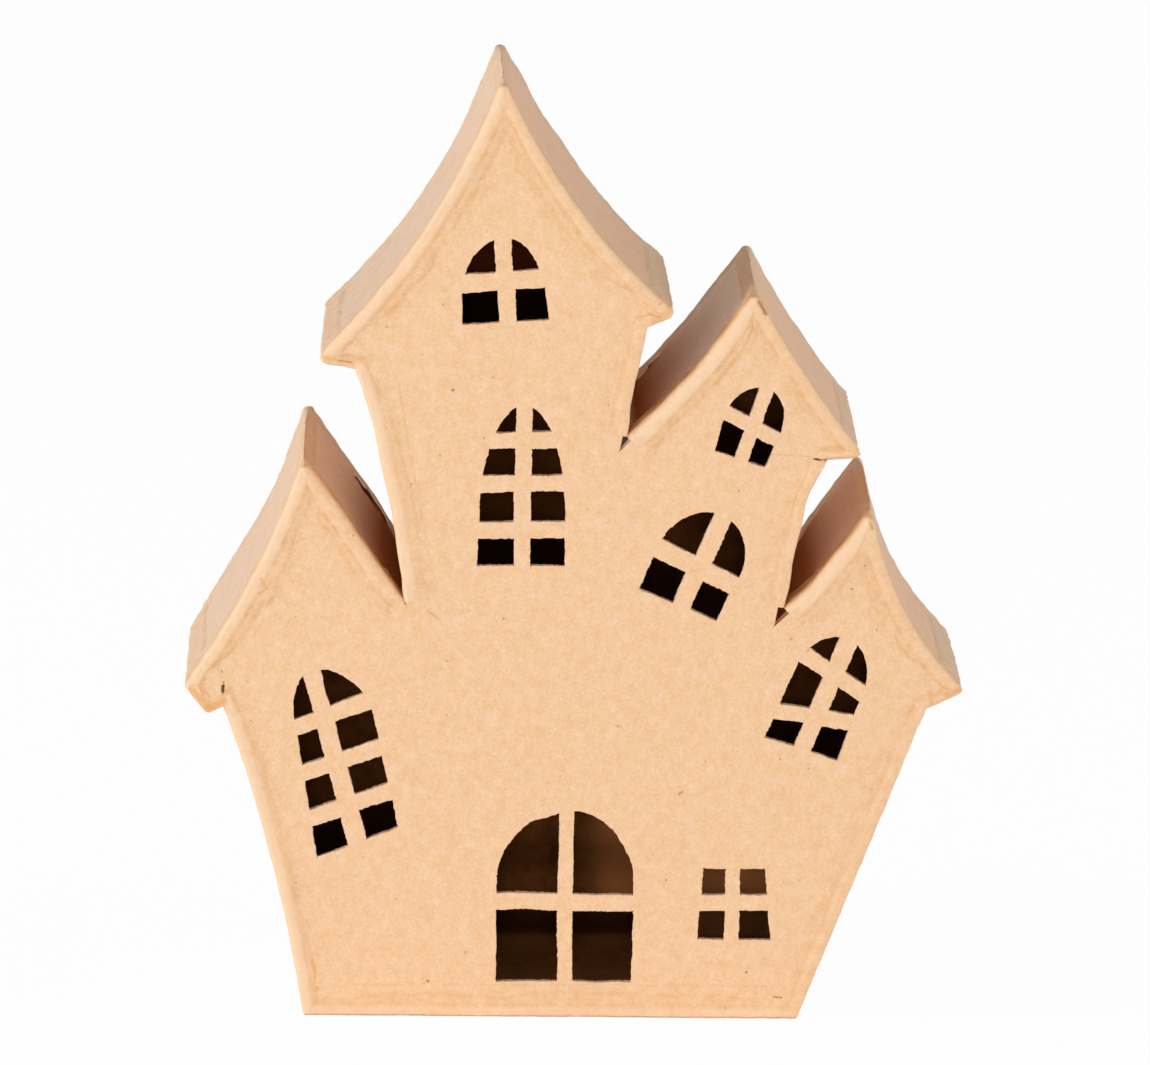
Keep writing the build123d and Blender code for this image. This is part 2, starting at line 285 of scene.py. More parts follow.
# lays a sheet along one side; across gives offset, depth, glue stain with painted shade, and the painted
# highlight of the roll for each row
def sheetAlong(bm, k, rows, cuts, across, startStop=None, endStop=None):
    stainAndShadeLayer, highlightLayer = bm.verts.layers.float["stainAndShade"], bm.verts.layers.float["roll"]
    grid = bmesh.ops.create_grid(bm, x_segments=cuts, y_segments=rows, size=1.0)
    length = lengthOf(k)
    first, second = mitres[k][0], mitres[(k + 1) % count][0]
    startRun = along(k, 0.0)[1]
    endRun = along(k, length)[1]
    for v in grid["verts"]:
        share = (v.co.x + 1) / 2
        row = round((v.co.y + 1) / 2 * rows)
        share -= shell["bunch"] * math.sin(2 * math.pi * share) / (2 * math.pi)
        offset, depth, stainAndShade, roll = across(row, share * length, length)
        low = first.dot(startRun) * offset if startStop is None else startStop
        high = length + second.dot(endRun) * offset if endStop is None else length - endStop
        place, _, out = along(k, low + (high - low) * share)
        flat = place + out * offset
        if startStop is None:
            place, _, out = along(k, low)
            flat += (cornerAt[k] + first * offset - place - out * offset) * (1 - share) ** 3
        if endStop is None:
            place, _, out = along(k, high)
            flat += (cornerAt[(k + 1) % count] + second * offset - place - out * offset) * share ** 3
        v.co = Vector((flat.x, depth, flat.y))
        v[stainAndShadeLayer] = stainAndShade
        v[highlightLayer] = roll


def newSheet():
    bm = bmesh.new()
    # the first layer holds glue stains and painted shade, the second the painted highlight
    bm.verts.layers.float.new("stainAndShade")
    bm.verts.layers.float.new("roll")
    return bm


# kraft card and the paper glued over its edges
kraft = {
    # noise patterns: scale, detail, roughness, distortion
    "mottle": (260.0, 5.0, 0.62),
    "grain": (1150.0, 3.0, 0.7),
    "fibre": (640.0, 4.0, 0.6, 2.2),
    "patches": (150.0, 4.0, 0.65, 0.8),
    "tearing": (900.0, 3.0, 0.6),
    "wrinkles": (170.0, 4.0, 0.6, 0.7),
    # the stretch of each pattern that shows
    "mottleRange": (0.34, 0.66), "grainRange": (0.35, 0.65), "patchRange": (0.40, 0.64),
    "fleckScale": 170.0, "fleckSize": 0.07, "fleckAbove": 0.55,
    # the two tones of each kind of card or paper
    "front": ((0.91, 0.615, 0.395), (0.87, 0.54, 0.295)),
    "paper": ((0.91, 0.605, 0.375), (0.86, 0.53, 0.29)),
    "back paper": ((0.875, 0.62, 0.44), (0.825, 0.55, 0.35)),
    # greyer than the card: painted sheen where the lamps glance off the sides; the right sides' tone goes
    # without it
    "sides with painted sheen": ((0.86, 0.62, 0.455), (0.81, 0.555, 0.375)),
    "right sides": ((0.91, 0.60, 0.41), (0.86, 0.535, 0.335)),
    # paler and pinker than the card: painted sky light and sheen on the tops of slopes that face a valley
    "valley sides with painted light": ((0.97, 0.78, 0.65), (0.92, 0.70, 0.56)),
    "cut": ((0.95, 0.66, 0.46), (0.70, 0.42, 0.25)),
    # much darker than the card: painted shade inside the house
    "paintedInside": ((0.13, 0.043, 0.010), (0.09, 0.028, 0.006)),
    # darker and more orange than the card: painted shade, lighter than on the inside walls where light falls
    # on the floor
    "inner floor with painted shade": ((0.80, 0.37, 0.125), (0.70, 0.30, 0.09)),
    # what lies on it, painted shade of the valleys and painted highlight of the folds, and how much of each
    # shows
    # painted shade, dark brown, in the valleys
    "paintedValleyShade": (0.49, 0.145, 0.02), "paintedValleyShadeShare": 0.92,
    "glue": (0.76, 0.39, 0.15), "glueShare": 0.62,
    # painted highlight on the paper where it rolls over the folds
    "paintedHighlight": (0.96, 0.69, 0.47), "paintedHighlightShare": 0.6,
    "fleck": (0.34, 0.17, 0.07), "fleckShare": 0.45,
    # uneven shares: what follows the pattern, and what is added to it
    "grainShade": (0.17, 0.915),
    "glueShade": (0.85, 0.15),
    "tearShade": (1.3, 0.35),
    "roughness": (-0.12, 0.84),
    "markEdge": 1.45,  # marks fade out at this many half widths
    "crispMark": (0.9, 2.2),  # marks of this strength or more are this much crisper
    "fibreHeight": 0.0004, "wrinkleHeight": 0.0011, "wrinkleStrength": 0.55,
}


def addNode(tree, kind, inputs=None, **values):
    node = tree.nodes.new(kind)
    for key, value in values.items():
        setattr(node, key, value)
    for key, value in (inputs or {}).items():
        if isinstance(value, bpy.types.NodeSocket):
            tree.links.new(value, node.inputs[key])
        else:
            node.inputs[key].default_value = value
    return node


def noiseNode(tree, place, scale, detail, roughness, distortion=0.0):
    inputs = {"Vector": place, "Scale": scale, "Detail": detail, "Roughness": roughness,
              "Distortion": distortion}
    return addNode(tree, "ShaderNodeTexNoise", inputs).outputs["Fac"]


def mathNode(tree, operation, first, second, clamp=False):
    inputs = {0: first, 1: second}
    return addNode(tree, "ShaderNodeMath", inputs, operation=operation, use_clamp=clamp).outputs[0]


def mixColour(tree, factor, first, second, blend="MIX"):
    first, second = ((*c, 1.0) if isinstance(c, tuple) else c for c in (first, second))
    inputs = {0: factor, 6: first, 7: second}
    return addNode(tree, "ShaderNodeMix", inputs, data_type="RGBA", blend_type=blend).outputs[2]


def spread(tree, value, low, high):
    inputs = {"Value": value, "From Min": low, "From Max": high}
    return addNode(tree, "ShaderNodeMapRange", inputs).outputs["Result"]


def scaled(tree, value, share, more):
    return mathNode(tree, "ADD", mathNode(tree, "MULTIPLY", value, share), more)


def attribute(tree, name):
    return addNode(tree, "ShaderNodeAttribute", attribute_name=name).outputs["Fac"]


def bumped(tree, height, strength, distance):
    return addNode(tree, "ShaderNodeBump", {"Height": height, "Strength": strength, "Distance": distance})


# the pattern that all kinds of kraft share
def kraftGroup():
    tree = bpy.data.node_groups.new("kraftFibre", "ShaderNodeTree")
    tree.interface.new_socket("Place", in_out="INPUT", socket_type="NodeSocketVector")
    for name in ("Mottle", "Grain", "Fleck", "Relief"):
        tree.interface.new_socket(name, in_out="OUTPUT", socket_type="NodeSocketFloat")
    place = addNode(tree, "NodeGroupInput").outputs["Place"]
    out = addNode(tree, "NodeGroupOutput")
    mottle = spread(tree, noiseNode(tree, place, *kraft["mottle"]), *kraft["mottleRange"])
    grain = noiseNode(tree, place, *kraft["grain"])
    fibre = noiseNode(tree, place, *kraft["fibre"])
    inputs = {"Vector": place, "Scale": kraft["fleckScale"]}
    cells = addNode(tree, "ShaderNodeTexVoronoi", inputs, feature="F1")
    small = mathNode(tree, "LESS_THAN", cells.outputs["Distance"], kraft["fleckSize"])
    fleck = mathNode(tree, "MULTIPLY", small, mathNode(tree, "GREATER_THAN", mottle, kraft["fleckAbove"]))
    both = scaled(tree, grain, 0.5, mathNode(tree, "MULTIPLY", fibre, 0.5))
    shown = spread(tree, both, *kraft["grainRange"])
    for name, value in (("Mottle", mottle), ("Grain", shown), ("Fleck", fleck), ("Relief", both)):
        tree.links.new(value, out.inputs[name])
    return tree


fibreGroup = kraftGroup()


# a slit or worn line from one point to another: how much of it shows
def markGroup():
    tree = bpy.data.node_groups.new("wornLine", "ShaderNodeTree")
    for name in ("Place", "From", "To"):
        tree.interface.new_socket(name, in_out="INPUT", socket_type="NodeSocketVector")
    for name in ("Width", "Rough"):
        tree.interface.new_socket(name, in_out="INPUT", socket_type="NodeSocketFloat")
    tree.interface.new_socket("Mark", in_out="OUTPUT", socket_type="NodeSocketFloat")
    given = addNode(tree, "NodeGroupInput").outputs
    out = addNode(tree, "NodeGroupOutput")

    def vectorNode(operation, inputs):
        outputs = addNode(tree, "ShaderNodeVectorMath", inputs, operation=operation).outputs
        return outputs["Value" if operation in ("DOT_PRODUCT", "LENGTH") else "Vector"]

    run = vectorNode("SUBTRACT", {0: given["To"], 1: given["From"]})
    reach = vectorNode("SUBTRACT", {0: given["Place"], 1: given["From"]})
    share = mathNode(tree, "DIVIDE", vectorNode("DOT_PRODUCT", {0: reach, 1: run}),
                     vectorNode("DOT_PRODUCT", {0: run, 1: run}), True)
    nearest = vectorNode("SCALE", {0: run, "Scale": share})
    gap = vectorNode("LENGTH", {0: vectorNode("SUBTRACT", {0: reach, 1: nearest})})
    ratio = mathNode(tree, "DIVIDE", gap, mathNode(tree, "MULTIPLY", given["Width"], given["Rough"]))
    tree.links.new(mathNode(tree, "SUBTRACT", kraft["markEdge"], ratio, True), out.inputs["Mark"])
    return tree


lineGroup = markGroup()

# worn, torn and stained places, and painted shadow, shade and light where noted, in mm: from, to, half
# width, colour, strength
# the first colour is for slits, the second is painted shadow in cracks
dark, crackShadow = (0.06, 0.035, 0.02), (0.045, 0.012, 0.003)
brown, orange = (0.45, 0.21, 0.07), (0.80, 0.42, 0.16)
marks = {"card": [
    ((76.4, -35.2, 176.6), (71.2, -35.2, 176.9), 0.30, dark, 0.9),  # slit under the upper eave
    ((-106.9, -35.0, 100.4), (-106.5, -35.0, 105.4), 0.25, brown, 0.8),  # slit at the left eave
    ((-106.8, -35.0, 102.6), (-106.7, -35.0, 104.0), 0.42, dark, 0.9),
    ((70.0, -35.2, 177.4), (58.5, -35.2, 178.0), 0.22, brown, 0.45),
    ((-44.6, -35.2, 128.2), (-41.0, -35.2, 125.4), 0.25, brown, 0.6),  # beyond the left valley
    # creases beside the tower's left edge
    ((-54.4, -35.0, 199.2), (-51.0, -35.0, 178.0), 0.30, orange, 0.4),
    ((-50.5, -35.0, 176.4), (-46.1, -35.0, 152.9), 0.30, orange, 0.45),
    ((-66.0, -35.0, 9.9), (60.0, -35.0, 10.4), 0.45, orange, 0.28),  # old glue above the foot
    ((32.3, -35.0, 71.3), (33.3, -35.0, 72.0), 0.30, brown, 0.75),  # flecks in the card
    ((-38.1, -35.0, 196.9), (-38.0, -35.0, 197.0), 0.38, brown, 0.9),
    ((-50.4, -35.0, 167.7), (-50.3, -35.0, 167.8), 0.34, brown, 0.8),
    ((53.8, -35.0, 14.8), (53.9, -35.0, 14.8), 0.32, brown, 0.9),
    ((83.5, -35.0, 136.3), (83.6, -35.0, 136.2), 0.38, brown, 0.8),
    ((91.6, -35.0, 123.6), (91.7, -35.0, 123.6), 0.36, brown, 0.9),
    ((-43.9, -35.0, 11.2), (-43.5, -35.0, 11.2), 0.30, brown, 0.9),
], "strip": [
    ((76.4, -35.4, 176.4), (71.2, -35.4, 176.7), 0.32, dark, 0.9),
    ((-106.9, -35.1, 100.4), (-106.5, -35.1, 105.4), 0.25, brown, 0.8),  # slit at the left eave
    ((-106.8, -35.1, 102.6), (-106.7, -35.1, 104.0), 0.42, dark, 0.9),
    ((53.8, -35.3, 225.0), (55.7, -35.3, 221.6), 0.70, (0.44, 0.18, 0.055), 0.85),  # worn upper apex
    ((88.5, -35.4, 156.9), (89.2, -35.4, 155.4), 0.50, brown, 0.6),  # painted shade of a dent in the lower apex
    ((62.4, -35.1, 7.0), (65.0, -35.1, 6.8), 0.26, (0.34, 0.18, 0.08), 0.8),  # tear above the foot
    ((-81.0, -35.3, 0.1), (69.0, -35.3, 0.1), 0.42, (0.42, 0.26, 0.16), 0.6),  # painted contact shadow along the foot
    ((-27.0, -35.3, 8.0), (66.0, -35.3, 7.7), 0.22, orange, 0.5),
    ((-78.9, -35.3, 17.3), (-77.3, -35.3, 7.7), 0.55, orange, 0.7),  # glue beside the left foot
    ((-95.7, -35.4, 138.1), (-93.6, -35.4, 135.2), 0.45, orange, 0.6),  # step in the left gable's strip
    ((-93.6, -35.4, 135.0), (-96.0, -35.4, 133.1), 0.45, orange, 0.7),
    ((-116.4, -35.5, 102.6), (-111.2, -35.5, 97.6), 1.5, orange, 0.75),  # stained eave tips
    ((-111.2, -35.5, 97.4), (-106.7, -35.5, 99.6), 1.2, orange, 0.8),
    ((-110.2, -35.5, 107.0), (-110.8, -35.5, 101.0), 0.28, brown, 0.55),
    ((-114.2, -35.5, 104.6), (-112.0, -35.5, 99.2), 0.26, orange, 0.6),
    ((-77.0, -35.5, 206.6), (-68.2, -35.5, 205.0), 0.8, orange, 0.6),
    ((-72.4, -35.5, 205.9), (-68.6, -35.5, 205.3), 0.24, brown, 0.7),
    ((26.4, -35.5, 221.9), (22.0, -35.5, 219.0), 1.0, orange, 0.6),
    ((19.5, -35.5, 221.3), (24.0, -35.5, 220.2), 0.28, brown, 0.45),
    ((83.8, -35.5, 177.4), (74.0, -35.5, 176.4), 0.9, orange, 0.45),
    ((116.6, -35.5, 105.0), (113.0, -35.5, 103.4), 0.9, orange, 0.7),
    ((108.6, -35.5, 101.0), (107.4, -35.5, 105.4), 0.8, orange, 0.6),
], "slope": [
    # painted shadow in the crack where the left gable's back strip is torn and lifted
    ((-68.1, 21.6, 155.6), (-66.3, 24.4, 153.3), 0.34, crackShadow, 0.95),
    ((-66.3, 24.4, 153.3), (-65.3, 22.4, 151.8), 0.45, crackShadow, 0.95),
    ((-65.2, 23.0, 151.6), (-63.2, 24.2, 149.0), 1.05, crackShadow, 0.97),
    ((-63.2, 24.0, 149.0), (-62.2, 22.2, 147.6), 0.75, crackShadow, 0.97),
    ((-62.2, 22.2, 147.6), (-60.6, 21.4, 145.3), 0.50, crackShadow, 0.95),
    ((-58.6, 27.0, 142.6), (-56.2, 27.6, 139.5), 0.42, crackShadow, 0.9),
    # painted shadow in a slit beside the tower
    ((20.1, 28.0, 187.7), (23.0, 24.6, 191.2), 0.6, crackShadow, 0.9),  # slit beside the tower
], "back": [
    ((50.6, 35.4, 226.4), (53.6, 35.4, 227.4), 0.8, (0.16, 0.115, 0.085), 0.75),  # dirty tip at the back
    # brown edges of two ridge papers
    ((48.6, -27.0, 222.2), (48.6, -4.0, 222.2), 0.8, (0.30, 0.14, 0.08), 0.6),
    ((48.4, 2.0, 222.0), (48.6, 20.0, 222.2), 0.7, (0.30, 0.14, 0.08), 0.6),
    ((84.6, -28.0, 153.9), (84.6, 24.0, 154.2), 0.9, (0.28, 0.12, 0.06), 0.65),
], "paintedInside": [
    ((34.0, 33.0, 32.0), (60.0, 33.0, 32.0), 22.0, (0.50, 0.18, 0.058), 0.9),  # painted light on the right half
    # painted shadow in a band low on the back, and painted light beside it on the right
    ((-75.0, 33.0, 10.5), (20.0, 33.0, 10.5), 5.2, (0.022, 0.005, 0.002), 0.95),
    ((40.0, 33.0, 9.0), (64.0, 33.0, 9.0), 7.0, (0.90, 0.44, 0.16), 0.95),
    # painted light: the lit floor card's colour below it
    ((-75.0, 33.0, 1.0), (65.0, 33.0, 1.0), 4.0, (0.25, 0.088, 0.028), 1.0),
    # painted shade behind the tall window
    ((-17.0, 33.0, 128.0), (-17.0, 33.0, 170.0), 14.0, (0.06, 0.016, 0.003), 0.6),
    # painted shade inside the tower's top
    ((-24.0, 33.0, 212.0), (-24.0, 33.0, 250.0), 26.0, (0.09, 0.018, 0.005), 0.92),
]}


def kraftMaterial(name, tones, bump, glued=False, gloss=0.12, worn=(), paintedValleyShade=False, jagged=True):
    material = bpy.data.materials.new(name)
    material.use_nodes = True
    tree = material.node_tree
    shader = tree.nodes["Principled BSDF"]
    shader.inputs["Specular IOR Level"].default_value = gloss
    place = addNode(tree, "ShaderNodeTexCoord").outputs["Object"]
    fibre = addNode(tree, "ShaderNodeGroup", {"Place": place}, node_tree=fibreGroup)
    colour = mixColour(tree, fibre.outputs["Mottle"], tones[0], tones[1])
    shade = scaled(tree, fibre.outputs["Grain"], *kraft["grainShade"])
    colour = mixColour(tree, 1.0, colour, shade, "MULTIPLY")
    flecks = mathNode(tree, "MULTIPLY", fibre.outputs["Fleck"], kraft["fleckShare"])
    colour = mixColour(tree, flecks, colour, kraft["fleck"])
    # painted shade on slopes that face a valley, darkest near the valley
    if paintedValleyShade:
        valleyShadeMask = mathNode(tree, "MULTIPLY", attribute(tree, "stainAndShade"), kraft["paintedValleyShadeShare"])
        colour = mixColour(tree, valleyShadeMask, colour, kraft["paintedValleyShade"])
    if glued:
        # painted highlight along the roll of the fold
        roll = mathNode(tree, "MULTIPLY", attribute(tree, "roll"), kraft["paintedHighlightShare"])
        colour = mixColour(tree, roll, colour, kraft["paintedHighlight"])
        patches = spread(tree, noiseNode(tree, place, *kraft["patches"]), *kraft["patchRange"])
        patches = scaled(tree, patches, *kraft["glueShade"])
        # glue stains, and the painted shade on the folds and legs of slopes that face a valley
        stainAndShade = mathNode(tree, "MULTIPLY", attribute(tree, "stainAndShade"), patches)
        stainAndShade = mathNode(tree, "MULTIPLY", stainAndShade, kraft["glueShare"], True)
        colour = mixColour(tree, stainAndShade, colour, kraft["glue"])
    if worn and jagged:
        ragged = scaled(tree, noiseNode(tree, place, *kraft["tearing"]), *kraft["tearShade"])
    for start, end, width, markColour, strength in worn:
        inputs = {"From": Vector(start) * shell["mm"], "To": Vector(end) * shell["mm"], "Place": place,
                  "Width": width * shell["mm"], "Rough": ragged if jagged else 1.0}
        mark = addNode(tree, "ShaderNodeGroup", inputs, node_tree=lineGroup).outputs["Mark"]
        if jagged and strength >= kraft["crispMark"][0]:
            mark = mathNode(tree, "MULTIPLY", mark, kraft["crispMark"][1], True)
        colour = mixColour(tree, mathNode(tree, "MULTIPLY", mark, strength), colour, markColour)
    tree.links.new(colour, shader.inputs["Base Color"])
    tree.links.new(scaled(tree, fibre.outputs["Grain"], *kraft["roughness"]), shader.inputs["Roughness"])
    relief = bumped(tree, fibre.outputs["Relief"], bump, kraft["fibreHeight"])
    if glued:
        pattern = noiseNode(tree, place, *kraft["wrinkles"])
        wrinkles = bumped(tree, pattern, kraft["wrinkleStrength"], kraft["wrinkleHeight"])
        tree.links.new(relief.outputs["Normal"], wrinkles.inputs["Normal"])
        relief = wrinkles
    tree.links.new(relief.outputs["Normal"], shader.inputs["Normal"])
    return material


frontKraft = kraftMaterial("frontKraft", kraft["front"], 0.5, worn=marks["card"])
# binding papers: glue stains, painted highlight on their rolls, painted shade where they turn onto slopes
# facing a valley
paperKraft = kraftMaterial("paperKraft", kraft["paper"], 0.6, glued=True, worn=marks["strip"])
backPaperKraft = kraftMaterial("backPaperKraft", kraft["back paper"], 0.6, glued=True, worn=marks["back"])
paintedSheenKraft = kraftMaterial("paintedSheenKraft", kraft["sides with painted sheen"], 0.6, gloss=0.3)
rightKraft = kraftMaterial("rightKraft", kraft["right sides"], 0.6, gloss=0.3)
# slopes facing a valley: pale painted light, painted shade towards the valley, painted shadow in their
# cracks
paintedLightAndShadeKraft = kraftMaterial("paintedLightAndShadeKraft", kraft["valley sides with painted light"], 0.6, gloss=0.0, worn=marks["slope"],
                           paintedValleyShade=True)
cutKraft = kraftMaterial("cutKraft", kraft["cut"], 0.9)
# painted shade inside the house, with painted light and shade in its marks
paintedShadeInsideKraft = kraftMaterial("paintedShadeInsideKraft", kraft["paintedInside"], 0.4, gloss=0.02, worn=marks["paintedInside"],
                            jagged=False)
paintedShadeFloorKraft = kraftMaterial("paintedShadeFloorKraft", kraft["inner floor with painted shade"], 0.4, gloss=0.02)
print("materials: 9 kinds of kraft card and paper")

# binding paper folded over the front and back edges
binding = {
    "fold": 1.25,  # radius of the fold
    "softer": 1.15,  # added to it along the slopes that face a valley
    "step": 0.26,  # the paper stands this far off the card once past its torn edge
    "edge": 1.3,  # width of that edge
    "bead": 0.34,  # how much further it stands off where it rolls over the fold
    "beadWidth": 3.0,
    "beadEdge": 1.9,
    "margin": 0.42,  # share of the flap's width that lies flat on the card beyond it
    "glueGap": 0.03,
    "cornerRun": (12.0, 24.0),  # least and most length in which a flap takes its corner's width
    "shortSide": 14.0,  # shorter sides go straight from one corner's width to the next
    "fade": 6.0,  # torn edges are even again this far from a corner
    "valleyRun": 16.0,  # length in which the paper swells towards a valley
    "valleyFlat": (1.0, 5.0),  # it lies flat this near the valley, and how long that fades
    "leg": 10.0,  # turned onto the walls and roof
    "faceRows": 17,
    "foldRows": 6,
    "legRows": (0.0, 0.25, 0.5, 0.75, 0.9, 1.0),
    "cutsPerMm": 1.15,
    "ragged": (1.05, 13.0, 0.5, 2.8),  # torn edge: slow and quick unevenness, size and length
    "legRagged": 0.7,  # share of it on the walls and roof
    "patchy": (0.6, 4.5),  # uneven height of the step: share, length
    "wrinkle": (0.16, 15.0, 0.95),  # size, length along the side and across it
    "press": 0.37,  # torn leg edges are pressed down by this much
    "jag": (4.2, 2.6, 1.4),  # lifted edges are torn: how far, in what length, how much longer
    "thickness": 0.36,
    "lump": (0.26, 4.4),  # size and length
    "backLump": 1.5,  # lumps at the back are this much larger
    # glue: on walls and base against 1 on the roof; at torn edge and bead, with the width; on the flap
    "wallGlue": 0.45, "baseGlue": 0.8, "tornStain": (0.9, 0.75), "beadStain": (0.75, 0.5), "flapStain": 0.25,
    # painted shade: along the foot where it meets the ground, and on slopes that face a valley, in front and
    # behind
    "footShade": 0.9, "valleyFoldShade": 1.6, "backValleyShade": 0.15,
}


def raggedAt(s, k, seed):
    size, span, small, short = binding["ragged"]
    slow = noise.noise(Vector((s / span, k * 7.3, seed)))
    quick = noise.noise(Vector((s / short, k * 3.1, seed + 5)))
    return size * slow + small * quick


def ease(x):
    x = max(0.0, min(1.0, x))
    return x * x * (3 - 2 * x)


# places where the torn edge steps out: side, place along it, half length, how far
stepped = [("left_gable_outer_slope", 43.0, 6.0, 1.7), ("lower_gable_outer_slope", 30.0, 5.0, 1.2),
           ("tower_left_slope", 40.0, 7.0, 1.0), ("right_wall", 60.0, 8.0, 1.2)]
# strips that have come away at the back: side, place along it, half length, how far the edge lifts
lifted = [("left_gable_inner_slope", 36.0, 10.0, 1.5), ("upper_gable_inner_slope", 14.5, 3.0, 0.6)]
# painted shade on the slopes that face a valley: how much all over, how far up from the valley it reaches,
# and how far from the valley it stays unshaded
shadedSides = {"left_gable_inner_slope": (0.17, 38, 0), "upper_gable_inner_slope": (0.0, 40, 6),
               "lower_gable_inner_slope": (0.33, 36, 0)}


def valleyShadeAt(k, s, length):
    if sides[k][0] not in shadedSides:
        return 0.0
    everywhere, reach, unshadedGap = shadedSides[sides[k][0]]
    up = s if sides[k][1] in valleys else length - s
    return min(1.0, everywhere + 1.2 * ease(1 - up / reach)) * (ease((up - unshadedGap) / 3) if unshadedGap else 1.0)


# hand is -1 for the front and 1 for the back
def bindingAcross(k, hand, seed):
    sideName, startName, endName = sides[k][0], sides[k][1], sides[(k + 1) % count][1]
    startWidth, sideWidth, endWidth = corners[startName][3], sides[k][3], corners[endName][3]
    legRows, faceRows, foldRows = binding["legRows"], binding["faceRows"], binding["foldRows"]
    shaded = sideName in shadedSides
    paper = shell["paper"]
    top = binding["step"] + binding["bead"]
    glue = binding["wallGlue"] if "wall" in sideName else binding["baseGlue"] if sideName == "base" else 1.0
    # painted highlight on the roll: strong where the side faces left, towards the lamps, faint where it
    # faces right
    lit = 0.12 + 0.88 * ease(0.4 - 0.9 * along(k, lengthOf(k) / 2)[2].x)
    face = -shell["front"] - top
    uneven, unevenSpan = binding["patchy"]
    crease, creaseSpan, creaseWidth = binding["wrinkle"]
    tornStain, tornWidth = binding["tornStain"]
    beadStain, beadWidth = binding["beadStain"]
    jag, jagSpan, jagMore = binding["jag"]

    def across(row, s, length):
        shortest, longest = binding["cornerRun"]
        run = max(shortest, min(longest, length))
        begin, end = ease(1 - s / run), ease(1 - (length - s) / run)
        if length < binding["shortSide"]:
            width = startWidth + (endWidth - startWidth) * s / length
        else:
            width = sideWidth + (startWidth - sideWidth) * begin + (endWidth - sideWidth) * end
        margin = binding["margin"] * width
        fade = ease(s / binding["fade"]) * ease((length - s) / binding["fade"])
        fold = binding["fold"] + (binding["softer"] * fade if shaded else 0.0)
        swell, flat = 0.0, 1.0
        flatGap, flatFade = binding["valleyFlat"]
        for cornerName, gap in ((startName, s), (endName, length - s)):
            if cornerName in valleys:
                swell += valleys[cornerName][1] * ease(1 - gap / binding["valleyRun"])
                flat *= ease((gap - flatGap) / flatFade)
        stainAndShade, roll = 0.0, 0.0
        if row < faceRows:
            whole = width + margin + paper - fold
            inward = whole * row / faceRows
            fromFold = whole - inward
            edge = width - 1.0 + raggedAt(s, k, seed) * fade
            for where, middle, reach, more in stepped:
                if hand < 0 and sideName == where:
                    edge += more * ease((reach - abs(s - middle)) / 1.6)
            patchy = 1 + uneven * noise.noise(Vector((s / unevenSpan, k * 5.7, seed + 2)))
            step = ease((edge - fromFold) / binding["edge"] + 0.4)
            bead = ease((binding["beadWidth"] - fromFold) / binding["beadEdge"])
            wrinkle = crease * noise.noise(Vector((s / creaseSpan, fromFold / creaseWidth, k * 4.1 + seed)))
            wrinkle = wrinkle * ease(step * 2) * fade
            height = binding["step"] * step * patchy + binding["bead"] * bead + wrinkle
            offset = -width - margin + inward
            depth = -shell["front"] - binding["glueGap"] - height * flat
            stainAndShade = tornStain * math.exp(-((fromFold - edge) / tornWidth) ** 2)
            stainAndShade += binding["flapStain"] * step * (1 - bead)
            fromBead = fromFold - binding["beadWidth"] + 0.2
            stainAndShade = glue * (stainAndShade + beadStain * math.exp(-(fromBead / beadWidth) ** 2))
            roll = bead * lit
        elif row <= faceRows + foldRows:
            turn = math.pi / 2 * (row - faceRows) / foldRows
            offset = paper - fold + (fold + swell) * math.sin(turn)
            depth = face + (top - paper) * (1 - math.cos(turn)) * 0.5 + fold * (1 - math.cos(turn))
            roll = math.cos(turn) * lit
            # painted contact shadow on the fold along the foot
            if sideName == "base":
                stainAndShade = binding["footShade"] * math.sin(turn)
            elif hand > 0:
                stainAndShade = math.sin(turn) * max(0.1, 0.4 + 1.2 * noise.noise(Vector((s / 5, k * 2.3, seed))))
            # painted shade on the fold of a slope that faces a valley
            elif shaded:
                stainAndShade = binding["valleyFoldShade"] * ease((turn / (math.pi / 2) - 0.4) / 0.6)
        else:
            part = legRows[row - faceRows - foldRows]
            leg = shell["front"] - binding["leg"] + raggedAt(s, k + 30, seed) * binding["legRagged"]
            rise = 0.0
            for where, middle, reach, most in lifted:
                if hand > 0 and sideName == where:
                    rise = most * max(0.0, 1 - ((s - middle) / reach) ** 2) ** 0.6
                    leg += min(1.0, rise) * (jag * noise.noise(Vector((s / jagSpan, 3.3, seed))) - jagMore)
                    rise *= 0.55 + 0.9 * abs(noise.noise(Vector((s / 3.1, 8.3, seed))))
            outer = ease((part - 0.3) / 0.7)
            offset = paper + swell + rise * outer
            if rise < 0.05:
                offset -= binding["press"] * outer
            # painted shade on the legs of slopes that face a valley: darkest at the fold and near the
            # valley, faint at the back
            if shaded and hand < 0:
                stainAndShade = binding["valleyFoldShade"] - 0.8 * part + valleyShadeAt(k, s, length) * 0.9
            elif shaded:
                stainAndShade = binding["backValleyShade"]
            start = face + (top - paper) * 0.5 + fold
            depth = start + (-leg - start) * part
        return offset, depth * -hand, stainAndShade, roll

    return across


